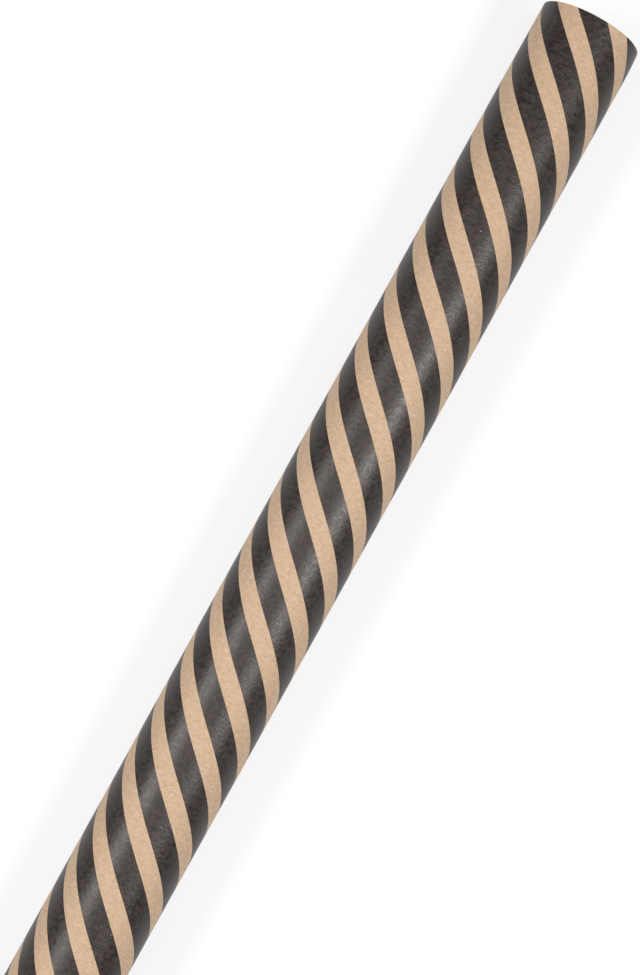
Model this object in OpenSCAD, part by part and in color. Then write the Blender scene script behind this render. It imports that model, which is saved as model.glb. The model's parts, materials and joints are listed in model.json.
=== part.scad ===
// A roll of gift wrapping paper: one long sheet wound round a cardboard core.
// The roll lies on its side. X runs along the roll, Z is up, and the origin is the middle
// of the strip that the roll rests on. The sheet is a true spiral from the core to its free
// edge, and each turn is bent in narrow flats, so that the roll lies still on a table. It has
// three stretches end to end: the turns wound on the core, the outer turn and the tail.

/* [Sheet] */
// Width of the sheet, which is the length of the roll
sheet_width = 700; // [300:10:1000]
// Length of the sheet once it is unrolled
sheet_length = 5000; // [2000:100:10000]
// Thickness of the paper
sheet_t = 0.1; // [0.07:0.005:0.15]
// Air between one turn and the next
turn_gap = 0.005; // [0.003:0.001:0.02]

/* [Core] */
// Diameter of the hole through the core
core_bore_d = 35; // [24:1:60]
// Thickness of one cardboard ply
ply_t = 0.3; // [0.2:0.05:0.8]
// Glue line between two plies
glue_gap = 0.02; // [0.01:0.01:0.05]
// How far the core stops short of each edge of the sheet
core_recess = 1; // [0.5:0.5:5]

/* [Start tape] */
// Length of the strip that holds the sheet's inner edge to the core
start_tape_length = 640; // [100:10:640]
// How far the strip reaches under the sheet from its inner edge
start_tape_reach = 19; // [10:1:30]
// Thickness of the strip
start_tape_t = 0.06; // [0.04:0.01:0.1]

/* [Free edge] */
// Bare paper between the tail's hinge line and the tapes
tail_bare = 9; // [5:1:20]
// Width of each clear tape, along the free edge
tape_width = 19; // [12:1:30]
// How far each tape reaches to either side of the free edge
tape_reach = 9.5; // [5:0.5:14]
// Thickness of each clear tape
tape_t = 0.05; // [0.04:0.01:0.1]
// Distance from the roll's end to the middle of the nearest tape
tape_inset = 150; // [40:10:145]
// Clearance under a tape
stick_gap = 0.01; // [0.005:0.005:0.03]

/* [Hidden] */
$fn = 96;

// The core, from the bore outwards
core_length = sheet_width - 2 * core_recess;
bore_r = core_bore_d / 2;
middle_ply_r = bore_r + ply_t + glue_gap;
outer_ply_r = middle_ply_r + ply_t + glue_gap;
core_r = outer_ply_r + ply_t;

// The spiral: radii are measured square to the flats, and a corner stands out by corner_k
flats_per_turn = 30;
flat_angle = 360 / flats_per_turn;
corner_k = 1 / cos(flat_angle / 2);
turn_pitch = sheet_t + turn_gap;
first_r = core_r + start_tape_t + 2 * stick_gap;
last_r = sqrt(pow(first_r, 2) + sheet_length * turn_pitch / PI);
sheet_flats = round(flats_per_turn * (last_r - first_r) / turn_pitch);
flat_width = 2 * last_r * tan(flat_angle / 2);

// The free edge stands one flat further up than the tapes reach, so nothing stuck on
// the sheet comes between the roll and the table
tape_flats = max(1, round(tape_reach / flat_width));
tail_flats = tape_flats + ceil(tail_bare / flat_width);
start_tape_flats = ceil(start_tape_reach / (2 * first_r * tan(flat_angle / 2)));
edge_angle = -90 + (tape_flats + 1.5) * flat_angle;
hinge_flat = sheet_flats - tail_flats;
outer_turn_flat = hinge_flat - flats_per_turn;

// Corner number i of the sheet, counted from its inner edge, at a height over its inside
function sheet_r(i) = first_r + turn_pitch * i / flats_per_turn;
function sheet_angle(i) = edge_angle + (sheet_flats - i) * flat_angle;
function corner(i, height) =
    (sheet_r(i) + height) * corner_k * [cos(sheet_angle(i)), sin(sheet_angle(i))];

// Height of a tape's underside: on the tail, then down on the turn below, past the edge
function tape_height(i) = stick_gap + (i <= sheet_flats ? sheet_t : -turn_gap);

// Height of the roll's axis over the flat that it rests on
last_turn = [for (i = [sheet_flats - flats_per_turn : sheet_flats]) corner(i, sheet_t)[1]];
axis_z = -min(last_turn);

// Stands an outline of the roll's end, drawn with Y across and Z up, along the roll
module along_roll(length, middle_x = 0) {
    translate([middle_x - length / 2, 0, axis_z])
        rotate([90, 0, 90])
            linear_extrude(height = length)
                children();
}

// A strip that follows the spiral over a run of corners, between two lists of heights
module strip(first, under, over) {
    last = len(under) - 1;
    inside = [for (k = [0 : last]) corner(first + k, under[k])];
    outside = [for (k = [last : -1 : 0]) corner(first + k, over[k])];
    polygon(concat(inside, outside));
}

module ply(inner_r) {
    along_roll(core_length)
        difference() {
            circle(r = inner_r + ply_t);
            circle(r = inner_r);
        }
}

module core_inner_ply() {
    color("#b79f83")
        ply(bore_r);
}

module core_middle_ply() {
    color("#ab9276")
        ply(middle_ply_r);
}

module core_outer_ply() {
    color("#c0a88b")
        ply(outer_ply_r);
}

// Lies between the core and the first flats of the sheet
module start_tape() {
    top = [for (k = [0 : start_tape_flats]) -stick_gap];
    color("#d9d2b8")
        along_roll(start_tape_length)
            strip(0, [for (height = top) height - start_tape_t], top);
}

module sheet(first, flats) {
    along_roll(sheet_width)
        strip(first, [for (k = [0 : flats]) 0], [for (k = [0 : flats]) sheet_t]);
}

module wound_sheet() {
    color("#d5b899")
        sheet(0, outer_turn_flat);
}

// The turn that shows, from under the hinge line once round to the hinge line
module outer_turn() {
    color("#53494a")
        sheet(outer_turn_flat, flats_per_turn);
}

// The end of the sheet, which lifts on a line along its outer face at the hinge corner
module sheet_tail() {
    color("#8d7d70")
        sheet(hinge_flat, tail_flats);
}

module tail_tape(middle_x) {
    under = [for (k = [-tape_flats : tape_flats]) tape_height(sheet_flats + k)];
    color([0.85, 0.87, 0.88, 0.5])
        along_roll(tape_width, middle_x)
            strip(sheet_flats - tape_flats, under, [for (height = under) height + tape_t]);
}

module tail_tape_left() {
    tail_tape(-sheet_width / 2 + tape_inset);
}

module tail_tape_right() {
    tail_tape(sheet_width / 2 - tape_inset);
}

core_inner_ply();
core_middle_ply();
core_outer_ply();
start_tape();
wound_sheet();
outer_turn();
sheet_tail();
tail_tape_left();
tail_tape_right();
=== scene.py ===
"""A roll of gift wrapping paper: kraft paper printed with slanting matte black stripes, wound on a
cardboard core, with its free edge taped down at the back.

The sheet and its tapes are stretches of one spiral, which a Geometry Nodes tree winds. Lengths are
in metres. X runs along the roll, Z is up, and the roll rests on the floor at zero.
"""

import json
import math

import bmesh
import bpy
from mathutils import Euler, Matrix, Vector


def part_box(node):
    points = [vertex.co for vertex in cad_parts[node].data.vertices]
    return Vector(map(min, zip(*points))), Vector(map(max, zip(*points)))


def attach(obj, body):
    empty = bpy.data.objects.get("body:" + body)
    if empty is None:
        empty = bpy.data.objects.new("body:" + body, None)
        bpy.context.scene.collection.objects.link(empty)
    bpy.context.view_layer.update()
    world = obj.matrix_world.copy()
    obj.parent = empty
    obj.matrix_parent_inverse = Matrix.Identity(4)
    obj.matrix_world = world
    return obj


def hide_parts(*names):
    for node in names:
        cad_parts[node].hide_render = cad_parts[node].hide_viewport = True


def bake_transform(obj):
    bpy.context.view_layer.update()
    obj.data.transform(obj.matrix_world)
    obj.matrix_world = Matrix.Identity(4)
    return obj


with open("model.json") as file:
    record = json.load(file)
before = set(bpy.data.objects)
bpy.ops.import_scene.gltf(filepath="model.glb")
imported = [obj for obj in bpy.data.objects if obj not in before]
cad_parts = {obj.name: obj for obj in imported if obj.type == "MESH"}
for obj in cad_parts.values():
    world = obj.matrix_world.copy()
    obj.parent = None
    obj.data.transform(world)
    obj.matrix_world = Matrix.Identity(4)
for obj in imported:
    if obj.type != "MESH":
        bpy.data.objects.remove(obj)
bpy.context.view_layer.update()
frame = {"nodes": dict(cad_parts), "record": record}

MM = 0.001


# --- Sizes that come from the frame ---
def radius_of(node):
    """Outer radius of a node that is round about the roll's axis."""
    low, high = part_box(node)
    return (high[2] - low[2]) / 2


BORE = next(m for m in frame["record"]["mounts"] if m["name"] == "core_bore")
BORE_R = BORE["dims"]["r_mm"] * MM
CORE_LENGTH = BORE["dims"]["length_mm"] * MM
AXIS_Z = BORE["pos_m"][2]
PLY_T = radius_of("core_inner_ply") - BORE_R
SHEET_WIDTH = 2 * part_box("wound_sheet")[1][0]
TAPE_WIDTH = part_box("tail_tape_right")[1][0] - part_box("tail_tape_right")[0][0]
TAPE_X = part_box("tail_tape_right")[1][0] - TAPE_WIDTH / 2

# --- The core ---
SEAM = 0.3 * MM  # between the edges of a ply's strip
PLY_STEPS = 360  # in a turn of a ply: fine enough to keep its seam open up to the ends
ENDED = 0.001 * MM  # a strip of board narrower than this has ended

# --- The paper and how it is wound ---
PAPER_T = 0.1 * MM
TURN_PITCH = 0.105 * MM
CORE_GAP = 0.08 * MM  # between the core and the first turn
FIRST_R = radius_of("core_outer_ply") + PAPER_T + CORE_GAP
EDGE_ANGLE = math.radians(-48)  # where the free edge lies, seen from the +X end, from +Y
REST_ANGLE = math.radians(-90)
EDGE_R = AXIS_Z + TURN_PITCH * (1 - (EDGE_ANGLE - REST_ANGLE) / math.tau)
TURNS = (EDGE_R - FIRST_R) / TURN_PITCH
TAIL_ARC = math.radians(48)
HINGE_TURN = TURNS - TAIL_ARC / math.tau

# --- The tapes ---
TAPE_T = 0.05 * MM
TAPE_GAP = 0.02 * MM  # between a tape and the paper
TAPE_ARC = math.radians(24)  # to either side of the free edge
TAPE_TOOTH = 0.5 * MM

# --- How finely strips are wound ---
HIDDEN_STEPS = 72  # in a turn
SHOWN_STEPS = 240  # in a turn
HIDDEN_ROWS = 2
SHOWN_ROWS = 140
TAPE_STEPS = 48
TAPE_ROWS = 70

# --- The print ---
BLACK_STRIPE = 9.85 * MM
KRAFT_STRIPE = 7.77 * MM
STRIPE_SLANT = math.radians(44.6)  # from the roll's length
STRIPE_START = 9.48 * MM  # first black edge from the +X end, along the top of the roll
FEATHER = 0.07 * MM  # to either side of the ink's edge
BLEED = 0.22 * MM  # how far the ink's edge strays along the fibres

# --- Colours ---
KRAFT = (0.414, 0.299, 0.205, 1)
KRAFT_DARK = (0.350, 0.237, 0.136, 1)
KRAFT_LIGHT = (0.484, 0.374, 0.290, 1)
BARK = (0.30, 0.17, 0.08, 1)
BLEACHED = (0.85, 0.72, 0.58, 1)
INK = (0.0005, 0.0003, 0.0002, 1)
INK_WORN = (0.030, 0.0184, 0.0148, 1)
INK_SPECK = (0.34, 0.30, 0.27, 1)
CUT_PULP = (0.46, 0.31, 0.195, 1)
CUT_PULP_LIGHT = (0.66, 0.48, 0.33, 1)
INNER_BOARD = (0.40, 0.31, 0.22, 1)
INNER_BOARD_DARK = (0.33, 0.25, 0.175, 1)
MIDDLE_BOARD = (0.34, 0.25, 0.17, 1)
MIDDLE_BOARD_DARK = (0.28, 0.205, 0.14, 1)
OUTER_BOARD = (0.44, 0.34, 0.24, 1)
OUTER_BOARD_DARK = (0.36, 0.275, 0.19, 1)
BOARD_SPECK = (0.10, 0.08, 0.06, 1)
CLEAR_FILM = (0.90, 0.91, 0.90, 1)
YELLOWED_FILM = (0.74, 0.70, 0.56, 1)
FLOOR = (0.19, 0.19, 0.19, 1)
FLOOR_LIGHT = (0.21, 0.21, 0.21, 1)
GLOW = (0.97, 0.98, 1.0, 1)
WHITE = (1.0, 1.0, 1.0, 1)
WARM_LAMP = (1.0, 0.95, 0.91)

# --- Mesh finish ---
SMOOTH_UP_TO = math.radians(40)
MERGE_WITHIN = 1e-7


# --- Node helpers ---
class Nodes:
    """Adds nodes to a tree and links them, so that a formula reads as one."""

    def __init__(self, tree):
        self.tree = tree

    def add(self, kind, inputs=(), out=0, **settings):
        """Makes a node, sets or links its inputs by name or number, and returns one output."""
        node = self.tree.nodes.new(kind)
        for name, value in settings.items():
            setattr(node, name, value)
        for key, value in dict(inputs).items():
            socket = node.inputs[key]
            if isinstance(value, bpy.types.NodeSocket):
                self.tree.links.new(value, socket)
            else:
                socket.default_value = value
        return node.outputs[out]

    def math(self, operation, *values):
        return self.add("ShaderNodeMath", enumerate(values), operation=operation)

    def ramp(self, value, low, high, start=0.0, end=1.0, smooth=True):
        """A value that goes from start to end as the given one goes from low to high."""
        return self.add(
            "ShaderNodeMapRange",
            {"Value": value, "From Min": low, "From Max": high, "To Min": start, "To Max": end},
            interpolation_type="SMOOTHSTEP" if smooth else "LINEAR",
        )

    def vector(self, x=0.0, y=0.0, z=0.0):
        return self.add("ShaderNodeCombineXYZ", {"X": x, "Y": y, "Z": z})

    def parts(self, vector):
        """The three parts of a vector."""
        node = self.tree.nodes.new("ShaderNodeSeparateXYZ")
        self.tree.links.new(vector, node.inputs[0])
        return node.outputs

    def noise(self, where, scale=1.0, detail=2.0, roughness=0.5):
        """Noise from 0 to 1, with scale in waves a metre."""
        inputs = {"Vector": where, "Scale": scale, "Detail": detail, "Roughness": roughness}
        return self.add("ShaderNodeTexNoise", inputs)


# --- The spiral ---
SPIRAL_INPUTS = {
    # How far the stretch reaches, in turns from the sheet's inner edge
    "First Turn": 0.0,
    "Last Turn": 1.0,
    # Place and width along the roll
    "Middle": 0.0,
    "Width": SHEET_WIDTH,
    # Height of this stretch over the sheet's outer face
    "Lift": 0.0,
    # Depth of the teeth on a torn end, and their spacing
    "Tooth": 0.0,
    "Tooth Spacing": 1.1 * MM,
    # The whole sheet
    "Turns": TURNS,
    "First Radius": FIRST_R,
    "Edge Radius": EDGE_R,
    "Turn Pitch": TURN_PITCH,
    "Edge Angle": EDGE_ANGLE,
    "Axis Height": AXIS_Z,
    # How far the turns' edges drift along the roll, and how uneven the roll's surface is
    "Edge Drift": 0.28 * MM,
    "Ripple": 0.10 * MM,
    # How far the free edge stands off between the tapes
    "Edge Curl": 0.9 * MM,
    "Tape Middle": TAPE_X,
    # A knock on the rim at the +X end
    "Dent": 0.45 * MM,
    "Dent Angle": math.radians(166),
    "Dent Length": 9 * MM,
    "End": SHEET_WIDTH / 2,
}


def empty_spiral_tree():
    """A tree that has the inputs and the output of a wound strip, and nothing between them."""
    tree = bpy.data.node_groups.new("Wound strip", "GeometryNodeTree")
    for name, kind, value in [
        ("Steps", "NodeSocketInt", 90),
        ("Rows", "NodeSocketInt", 2),
        *[(name, "NodeSocketFloat", value) for name, value in SPIRAL_INPUTS.items()],
        ("Finish", "NodeSocketMaterial", None),
    ]:
        socket = tree.interface.new_socket(name, in_out="INPUT", socket_type=kind)
        if value is not None:
            socket.default_value = value
    tree.interface.new_socket("Strip", in_out="OUTPUT", socket_type="NodeSocketGeometry")
    return tree


def place_on_sheet(n, given):
    """Distance along the roll, and turns from the sheet's inner edge, of each grid point."""
    place = n.parts(n.add("GeometryNodeInputPosition"))
    x_flat = n.math("MULTIPLY_ADD", place[1], given["Width"], given["Middle"])
    half_spacing = n.math("MULTIPLY", given["Tooth Spacing"], 0.5)
    zigzag = n.math("DIVIDE", n.math("PINGPONG", x_flat, half_spacing), half_spacing)
    around = n.math("MULTIPLY", given["Edge Radius"], math.tau)
    tooth = n.math("MULTIPLY", zigzag, n.math("DIVIDE", given["Tooth"], around))
    tooth = n.math("MULTIPLY", tooth, n.math("MULTIPLY", place[0], 2.0))
    span = n.math("SUBTRACT", given["Last Turn"], given["First Turn"])
    turn = n.math("MULTIPLY_ADD", n.math("ADD", place[0], 0.5), span, given["First Turn"])
    return x_flat, n.math("ADD", turn, tooth)


def ripple(n, given, x_flat, cosine, sine, part):
    """Unevenness that is nearly the same from one turn to the next, so that turns never cross."""
    waves_along = 16.0
    waves_across = 1.1
    ring = n.vector(
        n.math("MULTIPLY", x_flat, waves_along),
        n.math("MULTIPLY", cosine, waves_across),
        n.math("MULTIPLY", sine, waves_across),
    )
    uneven = n.math("SUBTRACT", n.noise(ring, roughness=0.45), 0.5)
    height = n.math("MULTIPLY", uneven, given["Ripple"])
    return n.math("MULTIPLY", height, n.ramp(part, low=0.5, high=1.0))


def drop_past_edge(n, given, turns_left):
    """How far a tape comes down on to the turn below, past the free edge."""
    drop_turns = 0.022
    past = n.ramp(n.math("MULTIPLY", turns_left, -1.0), low=0.0, high=drop_turns)
    return n.math("MULTIPLY", past, given["Turn Pitch"])


def edge_curl(n, given, x_flat, turns_left):
    """How far the free edge stands off, which is nothing at the tapes."""
    held_within = 10 * MM
    loose_beyond = 75 * MM
    curl_turns = 0.045
    waves_along = 13.0
    off_tape = n.math("SUBTRACT", n.math("ABSOLUTE", x_flat), given["Tape Middle"])
    loose = n.ramp(n.math("ABSOLUTE", off_tape), low=held_within, high=loose_beyond)
    uneven = n.noise(n.vector(n.math("MULTIPLY", x_flat, waves_along)), detail=1.0)
    curl = n.ramp(turns_left, low=curl_turns, high=0.0)
    curl = n.math("MULTIPLY", n.math("MULTIPLY", curl, loose), given["Edge Curl"])
    return n.math("MULTIPLY", curl, uneven)


def rim_dent(n, given, x_flat, angle):
    """Depth of the knock on the rim, which fades along the roll and round it."""
    spread = 0.86  # cosine of the angle at which it has faded
    from_end = n.math("SUBTRACT", given["End"], x_flat)
    deep = n.ramp(from_end, low=0.0, high=given["Dent Length"], start=1.0, end=0.0)
    facing = n.math("COSINE", n.math("SUBTRACT", angle, given["Dent Angle"]))
    deep = n.math("MULTIPLY", deep, n.ramp(facing, low=spread, high=1.0))
    return n.math("MULTIPLY", deep, given["Dent"])


def drifted_x(n, given, x_flat, turn, turns_left):
    """Place along the roll: each turn lies a little further along or back than the last."""
    waves_a_turn = 0.83
    seed = 3.7
    true_turns = 3.0  # over the last turns the drift dies away
    drift = n.noise(
        n.vector(n.math("MULTIPLY", turn, waves_a_turn), seed), detail=3.0, roughness=0.6
    )
    drift = n.math("MULTIPLY", n.math("SUBTRACT", drift, 0.5), given["Edge Drift"])
    return n.math("MULTIPLY_ADD", drift, n.ramp(turns_left, low=0.0, high=true_turns), x_flat)


def spiral_tree():
    """A tree that winds a strip of paper or film along the sheet's spiral."""
    tree = empty_spiral_tree()
    n = Nodes(tree)
    given = tree.nodes.new("NodeGroupInput").outputs
    grid_size = {
        "Size X": 1.0,
        "Size Y": 1.0,
        "Vertices X": n.math("ADD", given["Steps"], 1),
        "Vertices Y": n.math("ADD", given["Rows"], 1),
    }
    grid = n.add("GeometryNodeMeshGrid", grid_size)
    x_flat, turn = place_on_sheet(n, given)

    growth = n.math("SUBTRACT", given["Edge Radius"], given["First Radius"])
    part = n.math("DIVIDE", turn, given["Turns"])
    turns_left = n.math("SUBTRACT", given["Turns"], turn)
    angle = n.math("MULTIPLY_ADD", turns_left, math.tau, given["Edge Angle"])
    cosine = n.math("COSINE", angle)
    sine = n.math("SINE", angle)

    outward = ripple(n, given, x_flat, cosine, sine, part)
    outward = n.math("SUBTRACT", outward, drop_past_edge(n, given, turns_left))
    outward = n.math("ADD", outward, given["Lift"])
    outward = n.math("ADD", outward, edge_curl(n, given, x_flat, turns_left))
    outward = n.math("SUBTRACT", outward, rim_dent(n, given, x_flat, angle))
    radius = n.math("MULTIPLY_ADD", part, growth, given["First Radius"])
    radius = n.math("ADD", radius, outward)
    spot = n.vector(
        drifted_x(n, given, x_flat, turn, turns_left),
        n.math("MULTIPLY", radius, cosine),
        n.math("MULTIPLY_ADD", radius, sine, given["Axis Height"]),
    )

    # Length of paper from the inner edge, for the print
    mean = n.math("MULTIPLY_ADD", part, n.math("MULTIPLY", growth, 0.5), given["First Radius"])
    length = n.math("MULTIPLY", n.math("MULTIPLY", mean, turn), math.tau)
    flat = n.vector(length, x_flat)
    wound = n.add(
        "GeometryNodeStoreNamedAttribute",
        {"Geometry": grid, "Name": "sheet_uv", "Value": flat},
        data_type="FLOAT2",
        domain="CORNER",
    )
    wound = n.add("GeometryNodeSetPosition", {"Geometry": wound, "Position": spot})
    wound = n.add("GeometryNodeFlipFaces", {"Mesh": wound})
    wound = n.add("GeometryNodeSetShadeSmooth", {"Geometry": wound})
    wound = n.add("GeometryNodeRealizeInstances", {"Geometry": wound})
    wound = n.add("GeometryNodeSetMaterial", {"Geometry": wound, "Material": given["Finish"]})
    result = tree.nodes.new("NodeGroupOutput")
    tree.links.new(wound, result.inputs[0])
    return tree


def settle(name, made):
    """Turns an object with live modifiers into a plain one of the given name."""
    bpy.context.view_layer.update()
    graph = bpy.context.evaluated_depsgraph_get()
    mesh = bpy.data.meshes.new_from_object(made.evaluated_get(graph))
    bpy.data.objects.remove(made)
    mesh.name = name
    piece = bpy.data.objects.new(name, mesh)
    bpy.context.scene.collection.objects.link(piece)
    return piece


def wound_strip(name, tree, finishes, thickness, **inputs):
    """A closed strip along the spiral. finishes are those of its outside, inside and edges."""
    blank = bpy.data.objects.new(name + "_blank", bpy.data.meshes.new(name + "_blank"))
    bpy.context.scene.collection.objects.link(blank)
    modifier = blank.modifiers.new("Wound strip", "NODES")
    modifier.node_group = tree
    sockets = {s.name: s.identifier for s in tree.interface.items_tree if s.in_out == "INPUT"}
    modifier[sockets["Finish"]] = finishes[0]
    for key, value in inputs.items():
        modifier[sockets[key.replace("_", " ").title()]] = value
    strip = settle(name + "_face", blank)
    for finish in finishes[1:]:
        strip.data.materials.append(finish)
    wall = strip.modifiers.new("Thickness", "SOLIDIFY")
    wall.thickness = thickness
    wall.offset = -1.0
    wall.material_offset = 1
    wall.material_offset_rim = 2
    piece = settle(name, strip)
    piece.data.set_sharp_from_angle(angle=SMOOTH_UP_TO)
    return piece


# --- Materials ---
def material(name):
    """A new material: returns it, its node helper and its shader."""
    made = bpy.data.materials.new(name)
    made.use_nodes = True
    shader = made.node_tree.nodes["Principled BSDF"]
    return made, Nodes(made.node_tree), shader


def put(n, shader, **links):
    """Links what varies to the shader's sockets, whose names have _ for a space here."""
    for name, socket in links.items():
        n.tree.links.new(socket, shader.inputs[name.replace("_", " ")])


def mix(n, factor, a, b):
    """Colour that goes from a to b with the factor."""
    node = n.tree.nodes.new("ShaderNodeMix")
    node.data_type = "RGBA"
    for key, value in ((0, factor), (6, a), (7, b)):
        if isinstance(value, bpy.types.NodeSocket):
            n.tree.links.new(value, node.inputs[key])
        else:
            node.inputs[key].default_value = value
    return node.outputs[2]


def turned(n, where, angle, stretch):
    """Coordinates turned in their plane and drawn out, for fibres that lie one way."""
    return n.add(
        "ShaderNodeMapping",
        {"Vector": where, "Rotation": (0, 0, angle), "Scale": (1.0, stretch, 1.0)},
    )


def fibres(n, where):
    """Short pulp fibres that lie several ways, from 0 to 1."""
    total = None
    for angle, scale in ((0.4, 430.0), (1.5, 520.0), (2.6, 390.0)):
        lay = turned(n, where, angle, stretch=3.0)
        one = n.noise(lay, scale=scale, detail=3.0, roughness=0.65)
        total = one if total is None else n.math("ADD", total, one)
    return n.math("DIVIDE", total, 3.0)


def kraft_colour(n, where):
    """Brown pulp with cloudy patches, fibres and a few flecks of bark and bleached fibre."""
    clouds = n.noise(where, scale=430.0, detail=5.0, roughness=0.80)
    colour = mix(n, n.ramp(clouds, low=0.36, high=0.64), KRAFT, KRAFT_DARK)
    strands = n.ramp(fibres(n, where), low=0.43, high=0.60)
    colour = mix(n, n.math("MULTIPLY", strands, 0.45), colour, KRAFT_LIGHT)
    bark = n.noise(turned(n, where, angle=0.9, stretch=2.4), scale=620.0, detail=1.0)
    bark = n.ramp(bark, low=0.70, high=0.78)
    colour = mix(n, n.math("MULTIPLY", bark, 0.55), colour, BARK)
    bleached = n.noise(turned(n, where, angle=2.2, stretch=3.0), scale=540.0, detail=1.0)
    bleached = n.ramp(bleached, low=0.71, high=0.79)
    return mix(n, n.math("MULTIPLY", bleached, 0.5), colour, BLEACHED)


def grain(n, where, strength):
    """Bump of uncoated paper: fibres over a soft, cloudy surface."""
    height = n.noise(where, scale=560.0, detail=4.0, roughness=0.62)
    height = n.math("MULTIPLY_ADD", fibres(n, where), 0.45, height)
    return n.add(
        "ShaderNodeBump",
        {"Strength": strength, "Distance": 0.17 * MM, "Height": height},
    )


def stripes(n, where):
    """1 on a black stripe and 0 on bare kraft. The ink's edge is slightly feathered."""
    flat = n.parts(where)
    period = BLACK_STRIPE + KRAFT_STRIPE

    # The stripes are placed where the outer turn passes the top of the roll
    top_turn = TURNS - (math.pi / 2 - EDGE_ANGLE) / math.tau
    top_r = FIRST_R + (EDGE_R - FIRST_R) * top_turn / TURNS
    top_length = math.tau * top_turn * (FIRST_R + top_r) / 2
    start = SHEET_WIDTH / 2 - STRIPE_START
    phase = start * math.cos(STRIPE_SLANT) - top_length * math.sin(STRIPE_SLANT)

    # Distance square to the stripes, from the middle of a black one
    place = n.math("MULTIPLY_ADD", flat[1], math.cos(STRIPE_SLANT), -phase - BLACK_STRIPE / 2)
    place = n.math("MULTIPLY_ADD", flat[0], -math.sin(STRIPE_SLANT), place)
    stray = n.math("SUBTRACT", n.noise(where, scale=1500.0), 0.5)
    place = n.math("MULTIPLY_ADD", stray, BLEED, place)
    from_middle = n.math("PINGPONG", place, period / 2)
    edge = BLACK_STRIPE / 2
    return n.ramp(from_middle, low=edge - FEATHER, high=edge + FEATHER, start=1.0, end=0.0)


def printed_paper():
    """Kraft paper with matte black stripes on its outer face. The ink is worn along the fibres."""
    made, n, shader = material("printed kraft paper")
    where = n.add("ShaderNodeUVMap", uv_map="sheet_uv")
    bare = kraft_colour(n, where)
    mottle = n.noise(where, scale=430.0, detail=5.0, roughness=0.82)
    mottle = n.ramp(mottle, low=0.40, high=0.59)
    threads = n.ramp(fibres(n, where), low=0.46, high=0.58)
    wear = n.math("MULTIPLY_ADD", threads, 0.25, n.math("MULTIPLY", mottle, 0.75))
    ink = mix(n, wear, INK, INK_WORN)
    speck = n.ramp(n.noise(where, scale=760.0, detail=1.0), low=0.765, high=0.80)
    ink = mix(n, n.math("MULTIPLY", speck, 0.55), ink, INK_SPECK)
    printed = stripes(n, where)
    colour = mix(n, printed, bare, ink)
    rough_kraft = 0.62
    rough_ink = n.ramp(wear, low=0.0, high=1.0, start=0.36, end=0.49, smooth=False)
    smoother = n.math("SUBTRACT", rough_ink, rough_kraft)
    rough = n.math("MULTIPLY_ADD", printed, smoother, rough_kraft)
    put(n, shader, Base_Color=colour, Roughness=rough, Normal=grain(n, where, strength=0.8))
    shader.inputs["Specular IOR Level"].default_value = 0.46
    return made


def paper_back():
    """The unprinted side of the sheet."""
    made, n, shader = material("kraft paper back")
    where = n.add("ShaderNodeUVMap", uv_map="sheet_uv")
    put(n, shader, Base_Color=kraft_colour(n, where), Normal=grain(n, where, strength=0.6))
    shader.inputs["Roughness"].default_value = 0.78
    return made


def paper_edge():
    """The cut edge of the sheet, where the turns show as fine rings."""
    made, n, shader = material("cut paper edge")
    where = n.add("ShaderNodeTexCoord", out="Object")
    shade = n.noise(where, scale=420.0, detail=3.0, roughness=0.6)
    put(n, shader, Base_Color=mix(n, shade, CUT_PULP, CUT_PULP_LIGHT))
    shader.inputs["Roughness"].default_value = 0.9
    return made


def core_board(name, base, dark):
    """Grey-brown paperboard with coarse fibres and dark specks of recycled pulp."""
    made, n, shader = material(name)
    where = n.add("ShaderNodeTexCoord", out="Object")
    cloud = n.noise(where, scale=60.0, detail=4.0, roughness=0.6)
    colour = mix(n, n.ramp(cloud, low=0.3, high=0.7), base, dark)
    lay = turned(n, where, angle=0.7, stretch=4.0)
    strands = n.noise(lay, scale=190.0, detail=3.0, roughness=0.6)
    pale = tuple(1.35 * c for c in base[:3]) + (1,)
    colour = mix(n, n.ramp(strands, low=0.55, high=0.68, end=0.5), colour, pale)
    speck = n.ramp(n.noise(where, scale=560.0, detail=1.0), low=0.70, high=0.78)
    colour = mix(n, n.math("MULTIPLY", speck, 0.6), colour, BOARD_SPECK)
    height = n.math("ADD", strands, n.noise(where, scale=700.0, detail=3.0))
    bump = n.add(
        "ShaderNodeBump",
        {"Strength": 0.6, "Distance": 0.08 * MM, "Height": height},
    )
    put(n, shader, Base_Color=colour, Normal=bump)
    shader.inputs["Roughness"].default_value = 0.88
    return made


def clear_film(name, tint, alpha, roughness):
    """Clear tape, hazier where air is caught under it."""
    made, n, shader = material(name)
    where = n.add("ShaderNodeTexCoord", out="Object")
    caught = n.noise(where, scale=210.0, detail=3.0, roughness=0.6)
    haze = n.math("MULTIPLY_ADD", n.ramp(caught, low=0.52, high=0.68), 0.16, alpha)
    rough = n.math("MULTIPLY_ADD", n.noise(where, scale=90.0), 0.14, roughness)
    bump = n.add(
        "ShaderNodeBump",
        {"Strength": 0.35, "Distance": 0.1 * MM, "Height": n.noise(where, scale=130.0)},
    )
    put(n, shader, Alpha=haze, Roughness=rough, Normal=bump)
    shader.inputs["Base Color"].default_value = tint
    shader.inputs["IOR"].default_value = 1.48
    return made


def pale_floor():
    """Lit mostly from within, as a light table is, for soft shadows. It dims up the backdrop."""
    made, n, shader = material("pale floor")
    where = n.add("ShaderNodeTexCoord", out="Object")
    colour = mix(n, n.noise(where, scale=3.0), FLOOR, FLOOR_LIGHT)
    height = n.parts(where)[2]
    glow = n.ramp(height, low=0.0, high=0.9, start=0.75, end=0.26)
    put(n, shader, Base_Color=colour, Emission_Strength=glow)
    shader.inputs["Roughness"].default_value = 0.9
    shader.inputs["Specular IOR Level"].default_value = 0.1
    shader.inputs["Emission Color"].default_value = GLOW
    return made


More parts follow.
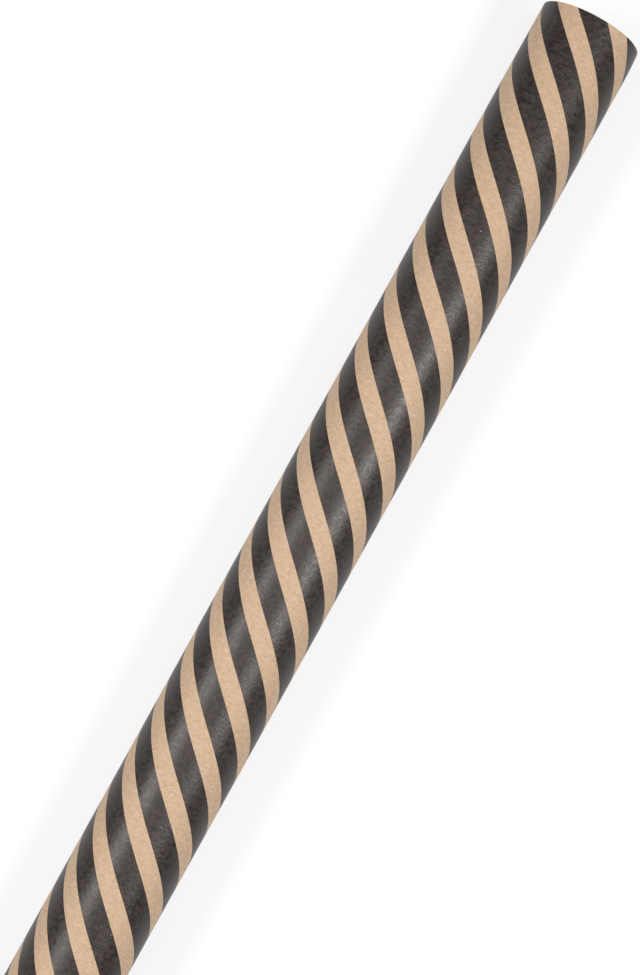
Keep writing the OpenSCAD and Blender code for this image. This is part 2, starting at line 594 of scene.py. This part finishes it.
# --- The core ---
def finish_mesh(name, mesh, finish):
    """Cleans a mesh, shades it smooth up to its sharp edges, and makes it a piece."""
    work = bmesh.new()
    work.from_mesh(mesh)
    bmesh.ops.remove_doubles(work, verts=work.verts, dist=MERGE_WITHIN)
    bmesh.ops.dissolve_degenerate(work, edges=work.edges, dist=MERGE_WITHIN)
    bmesh.ops.recalc_face_normals(work, faces=work.faces)
    loose = [v for v in work.verts if not v.link_faces]
    bmesh.ops.delete(work, geom=loose, context="VERTS")
    work.to_mesh(mesh)
    work.free()
    mesh.materials.append(finish)
    mesh.shade_smooth()
    mesh.set_sharp_from_angle(angle=SMOOTH_UP_TO)
    piece = bpy.data.objects.new(name, mesh)
    bpy.context.scene.collection.objects.link(piece)
    return piece


def ply_strip(name, outer_r, lead, first_angle, finish):
    """A strip of board wound round the roll's axis, whose edges meet in a slanting seam."""
    inner_r = outer_r - PLY_T
    half = CORE_LENGTH / 2
    steps = math.ceil((CORE_LENGTH / lead + 2) * PLY_STEPS)
    points = []
    widths = []
    for step in range(steps + 1):
        turn = step / PLY_STEPS
        angle = first_angle + math.tau * turn
        middle = -half - lead + lead * turn
        low = min(max(middle - (lead - SEAM) / 2, -half), half)
        high = min(max(middle + (lead - SEAM) / 2, -half), half)
        widths.append(high - low)
        y, z = math.cos(angle), math.sin(angle)
        for x, r in ((low, inner_r), (high, inner_r), (high, outer_r), (low, outer_r)):
            points.append((x, r * y, AXIS_Z + r * z))
    kept = [step for step in range(steps) if max(widths[step], widths[step + 1]) > ENDED]
    faces = []
    for step in kept:
        near = 4 * step
        far = 4 * (step + 1)
        for side in range(4):
            other = (side + 1) % 4
            faces.append((near + side, near + other, far + other, far + side))
    first = 4 * kept[0]
    last = 4 * (kept[-1] + 1)
    faces.append((first + 3, first + 2, first + 1, first))
    faces.append((last, last + 1, last + 2, last + 3))
    mesh = bpy.data.meshes.new(name)
    mesh.from_pydata(points, [], faces)
    return finish_mesh(name, mesh, finish)


def core():
    """Three strips of board, each wound over the last with its seam elsewhere."""
    grey = core_board("inner ply board", INNER_BOARD, INNER_BOARD_DARK)
    brown = core_board("middle ply board", MIDDLE_BOARD, MIDDLE_BOARD_DARK)
    tan = core_board("outer ply board", OUTER_BOARD, OUTER_BOARD_DARK)
    plies = (
        # Piece, node, board, and the lead and first angle of the winding
        ("inner_ply_strip", "core_inner_ply", grey, 88 * MM, 0.0),
        ("middle_ply_strip", "core_middle_ply", brown, 90 * MM, 2.0),
        ("outer_ply_strip", "core_outer_ply", tan, 92 * MM, 4.1),
    )
    for name, node, board, lead, first_angle in plies:
        strip = ply_strip(name, radius_of(node), lead, first_angle, board)
        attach(strip, "roll")
        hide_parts(node)


# --- The sheet ---
def paper_sheet(tree):
    """The three stretches of the sheet: on the core, the turn that shows, and the tail."""
    finishes = (printed_paper(), paper_back(), paper_edge())
    outer_start = HINGE_TURN - 1
    wound_steps = math.floor(outer_start * HIDDEN_STEPS)
    wound = wound_strip(
        "wound_turns",
        tree,
        finishes,
        PAPER_T,
        first_turn=outer_start - wound_steps / HIDDEN_STEPS,
        last_turn=outer_start,
        steps=wound_steps,
        rows=HIDDEN_ROWS,
    )
    outer = wound_strip(
        "outer_turn_paper",
        tree,
        finishes,
        PAPER_T,
        first_turn=outer_start,
        last_turn=HINGE_TURN,
        steps=SHOWN_STEPS,
        rows=SHOWN_ROWS,
    )
    tail = wound_strip(
        "tail_paper",
        tree,
        finishes,
        PAPER_T,
        first_turn=HINGE_TURN,
        last_turn=TURNS,
        steps=round(SHOWN_STEPS * (TURNS - HINGE_TURN)),
        rows=SHOWN_ROWS,
    )
    for piece, node in ((wound, "wound_sheet"), (outer, "outer_turn"), (tail, "sheet_tail")):
        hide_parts(node)
    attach(wound, "roll")
    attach(outer, "roll")
    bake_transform(tail)


def tapes(tree):
    """Two short lengths of clear tape with torn, toothed ends, over the free edge."""
    film = clear_film("clear tape film", CLEAR_FILM, alpha=0.20, roughness=0.22)
    reach = TAPE_ARC / math.tau
    for side, sign in (("left", -1), ("right", 1)):
        tape = wound_strip(
            side + "_tape_film",
            tree,
            (film, film, film),
            TAPE_T,
            first_turn=TURNS - reach,
            last_turn=TURNS + reach,
            steps=TAPE_STEPS,
            rows=TAPE_ROWS,
            middle=sign * TAPE_X,
            width=TAPE_WIDTH,
            lift=TAPE_GAP + TAPE_T,
            tooth=TAPE_TOOTH,
        )
        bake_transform(tape)
        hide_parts("tail_tape_" + side)


def start_tape():
    """The frame's strip stays as it is, with the finish of yellowed double-sided tape."""
    film = clear_film("double-sided film", YELLOWED_FILM, alpha=0.65, roughness=0.4)
    strip = frame["nodes"]["start_tape"]
    strip.data.materials.clear()
    strip.data.materials.append(film)


# --- Studio ---
LENS = 73.3
SENSOR = 36.0
CAMERA_X = 115.7 * MM
CAMERA_HEIGHT = 834.8 * MM  # over the roll's axis
CAMERA_TURN = (math.radians(0.82), math.radians(0.03), math.radians(-60.94))

FLOOR_DROP = 0.3 * MM  # under zero, just clear of the roll
COVE_SIDES = 72
COVE_PROFILE = (  # distance from the middle, and height, where the floor curves up
    (3.0, 0.0),
    (3.3, 0.05),
    (3.6, 0.2),
    (3.85, 0.5),
    (4.0, 1.0),
    (4.0, 1.8),
)


def camera():
    """Looks down on the roll from above, turned so that the roll slants up to the right."""
    data = bpy.data.cameras.new("camera")
    data.lens = LENS
    data.sensor_width = SENSOR
    made = bpy.data.objects.new("camera", data)
    made.location = (CAMERA_X, 0.0, AXIS_Z + CAMERA_HEIGHT)
    made.rotation_euler = Euler(CAMERA_TURN)
    bpy.context.scene.collection.objects.link(made)
    bpy.context.scene.camera = made


def cove():
    """A round floor whose rim curves up into a pale backdrop."""
    points = [(0, 0, -FLOOR_DROP)]
    for radius, height in COVE_PROFILE:
        for side in range(COVE_SIDES):
            angle = math.tau * side / COVE_SIDES
            x = radius * math.cos(angle)
            y = radius * math.sin(angle)
            points.append((x, y, height - FLOOR_DROP))
    neighbours = [(side, (side + 1) % COVE_SIDES) for side in range(COVE_SIDES)]
    faces = [(0, 1 + near, 1 + far) for near, far in neighbours]
    for ring in range(len(COVE_PROFILE) - 1):
        inner = 1 + ring * COVE_SIDES
        outer = inner + COVE_SIDES
        for near, far in neighbours:
            faces.append((inner + near, outer + near, outer + far, inner + far))
    mesh = bpy.data.meshes.new("floor")
    mesh.from_pydata(points, [], faces)
    mesh.materials.append(pale_floor())
    mesh.shade_smooth()
    floor = bpy.data.objects.new("floor", mesh)
    bpy.context.scene.collection.objects.link(floor)


def softbox(name, place, target_x, length, width, power):
    """A soft light that faces a point on the roll's axis."""
    data = bpy.data.lights.new(name, "AREA")
    data.shape = "RECTANGLE"
    data.size = length
    data.size_y = width
    data.energy = power
    data.color = WARM_LAMP
    made = bpy.data.objects.new(name, data)
    made.location = place
    aim = Vector((target_x, 0, AXIS_Z)) - Vector(place)
    made.rotation_euler = aim.to_track_quat("-Z", "Y").to_euler()
    bpy.context.scene.collection.objects.link(made)


def lights():
    """Two softboxes either side of the camera, a wide scrim high above it and a dim surround."""
    softbox(
        "softbox_right", (0.16, -0.75, 1.10), target_x=0.13, length=0.34, width=0.28, power=13.3
    )
    softbox(
        "softbox_left", (-0.18, 0.75, 1.10), target_x=0.0, length=0.78, width=0.28, power=14.2
    )
    softbox("scrim", (0.05, 0, 1.70), target_x=0.05, length=1.3, width=1.1, power=7.9)
    world = bpy.data.worlds.new("surround")
    world.use_nodes = True
    sky = world.node_tree.nodes["Background"]
    sky.inputs["Color"].default_value = WHITE
    sky.inputs["Strength"].default_value = 0.10
    bpy.context.scene.world = world
    bpy.context.scene.view_settings.view_transform = "Standard"


camera()
spiral = spiral_tree()
core()
paper_sheet(spiral)
tapes(spiral)
start_tape()
cove()
lights()
